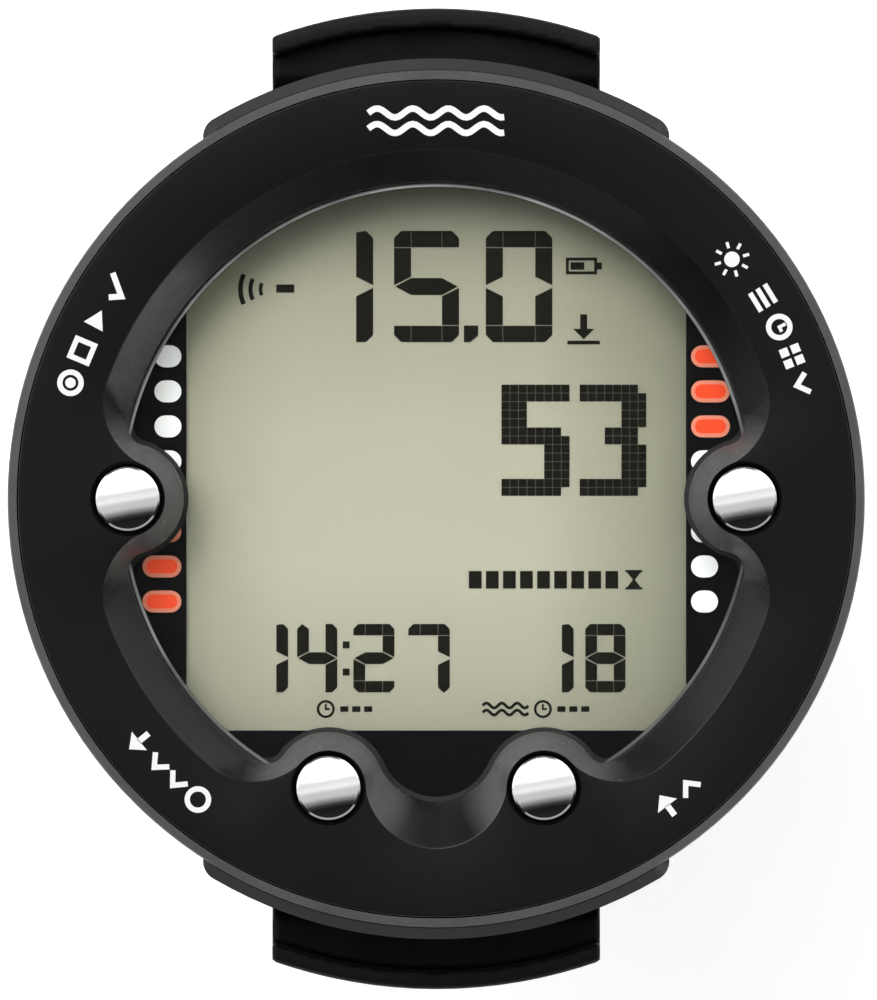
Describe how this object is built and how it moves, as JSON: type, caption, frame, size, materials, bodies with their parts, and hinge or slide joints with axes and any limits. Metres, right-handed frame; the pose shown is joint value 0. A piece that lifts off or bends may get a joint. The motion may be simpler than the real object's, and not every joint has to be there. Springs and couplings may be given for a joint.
{
  "type": "wrist dive computer",
  "caption": "Round wrist dive computer with a shrouded display, domed buttons, a coin-slot battery cap and a moulded strap with a buckle.",
  "frame": {"origin": "centre of the flat case back, where it rests on the wrist", "axes": "+Z out of the display, +Y towards 12 o'clock, +X towards 3 o'clock"},
  "size_m": [0.0682, 0.0784, 0.0849],
  "materials": {
    "case_polymer": "fine matt texture, glass-filled",
    "bezel_polymer": "very fine matt texture",
    "deck_polymer": "black, matt",
    "cap_polymer": "matt, with a coin slot",
    "tray_polymer": "white, matt",
    "mask_ink": "gloss black",
    "mark_white": "gloss white",
    "mark_orange": "gloss orange-red",
    "lens_glass": "polished mineral glass",
    "panel_glass": "greenish grey liquid-crystal panel",
    "light_plate": "diffusing plate",
    "seal_rubber": "black nitrile",
    "zebra_rubber": "striped silicone",
    "strap_rubber": "matt moulded elastomer",
    "steel_polished": "polished stainless",
    "steel_brushed": "brushed stainless",
    "spring_steel": "drawn wire",
    "cell_steel": "nickel-plated",
    "contact_brass": "gold-plated",
    "bush_brass": "turned",
    "board_laminate": "green solder resist",
    "chip_epoxy": "black epoxy",
    "part_ceramic": "fired ceramic",
    "sounder_ceramic": "silvered piezo ceramic on brass"
  },
  "bodies": {
    "case": {"rear_case": "case_polymer", "front_frame": "deck_polymer", "bezel": "bezel_polymer", "case_screws": "steel_brushed", "lens": "lens_glass", "lens_gasket": "seal_rubber", "case_seal": "seal_rubber", "display_mask": "mask_ink", "marks_white": "mark_white", "marks_orange": "mark_orange", "lcd_panel": "panel_glass", "backlight_plate": "light_plate", "display_tray": "tray_polymer", "zebra_connector": "zebra_rubber", "circuit_board": "board_laminate", "board_chips": "chip_epoxy", "board_passives": "part_ceramic", "button_switches": "steel_brushed", "tray_screws": "steel_brushed", "pressure_sensor": "steel_brushed", "sensor_oring": "seal_rubber", "sensor_vent": "steel_polished", "sounder": "sounder_ceramic", "water_contacts": "steel_polished", "board_contacts": "contact_brass", "coin_cell": "cell_steel", "cell_contact_negative": "contact_brass", "cell_contact_positive": "contact_brass", "button_bushes": "bush_brass", "spring_bar_top": "steel_brushed", "spring_bar_bottom": "steel_brushed", "button_left_spring": "spring_steel", "button_right_spring": "spring_steel", "button_low_left_spring": "spring_steel", "button_low_right_spring": "spring_steel"},
    "cap_seal": {"battery_cap_oring": "seal_rubber"},
    "cap": {"battery_cap": "cap_polymer"},
    "strap_buckle": {"strap_buckle_half": "strap_rubber", "keeper_fixed": "strap_rubber"},
    "keeper": {"keeper_sliding": "strap_rubber"},
    "buckle": {"buckle_frame": "steel_brushed", "buckle_pin": "steel_brushed"},
    "tongue": {"buckle_tongue": "steel_brushed"},
    "strap_tail": {"strap_tail_half": "strap_rubber"},
    "button_left": {"button_left": "steel_polished", "button_left_oring": "seal_rubber", "button_left_clip": "spring_steel"},
    "button_right": {"button_right": "steel_polished", "button_right_oring": "seal_rubber", "button_right_clip": "spring_steel"},
    "button_low_left": {"button_low_left": "steel_polished", "button_low_left_oring": "seal_rubber", "button_low_left_clip": "spring_steel"},
    "button_low_right": {"button_low_right": "steel_polished", "button_low_right_oring": "seal_rubber", "button_low_right_clip": "spring_steel"}
  },
  "joints": [
    {"name": "press_left", "type": "slide", "parent": "case", "child": "button_left", "axis": [0, 0, -1], "range_m": [0, 0.001], "stiffness_N_per_m": 450, "springref_m": -0.0008, "deforming": ["button_left_spring"]},
    {"name": "press_right", "type": "slide", "parent": "case", "child": "button_right", "axis": [0, 0, -1], "range_m": [0, 0.001], "stiffness_N_per_m": 450, "springref_m": -0.0008, "deforming": ["button_right_spring"]},
    {"name": "press_low_left", "type": "slide", "parent": "case", "child": "button_low_left", "axis": [0, 0, -1], "range_m": [0, 0.001], "stiffness_N_per_m": 450, "springref_m": -0.0008, "deforming": ["button_low_left_spring"]},
    {"name": "press_low_right", "type": "slide", "parent": "case", "child": "button_low_right", "axis": [0, 0, -1], "range_m": [0, 0.001], "stiffness_N_per_m": 450, "springref_m": -0.0008, "deforming": ["button_low_right_spring"]},
    {"name": "cap_drop", "type": "slide", "parent": "case", "child": "cap_seal", "axis": [0, 0, -1], "range_m": [0, 0.0021]},
    {"name": "cap_turn", "type": "hinge", "parent": "cap_seal", "child": "cap", "pos_m": [0, 0, 0.002], "axis": [0, 0, 1], "range_deg": [0, 45]},
    {"name": "strap_swing", "type": "hinge", "parent": "case", "child": "strap_buckle", "pos_m": [0, 0.0294, 0.0075], "axis": [1, 0, 0], "range_deg": [0, 45]},
    {"name": "tail_swing", "type": "hinge", "parent": "case", "child": "strap_tail", "pos_m": [0, -0.0294, 0.0075], "axis": [-1, 0, 0], "range_deg": [0, 36]},
    {"name": "keeper_slide", "type": "slide", "parent": "strap_buckle", "child": "keeper", "axis": [0, 1, 0], "range_m": [-0.003, 0.004]},
    {"name": "buckle_swing", "type": "hinge", "parent": "strap_buckle", "child": "buckle", "pos_m": [0, -0.01528, -0.04938], "axis": [1, 0, 0], "range_deg": [0, 60]},
    {"name": "tongue_swing", "type": "hinge", "parent": "buckle", "child": "tongue", "pos_m": [0, -0.01528, -0.04938], "axis": [1, 0, 0], "range_deg": [0, 45]}
  ],
  "couplings": [
    {"joint": "cap_turn", "follows": "cap_drop", "rad_per_m": 374},
    {"joint": "tail_swing", "follows": "strap_swing", "ratio": 0.8}
  ]
}
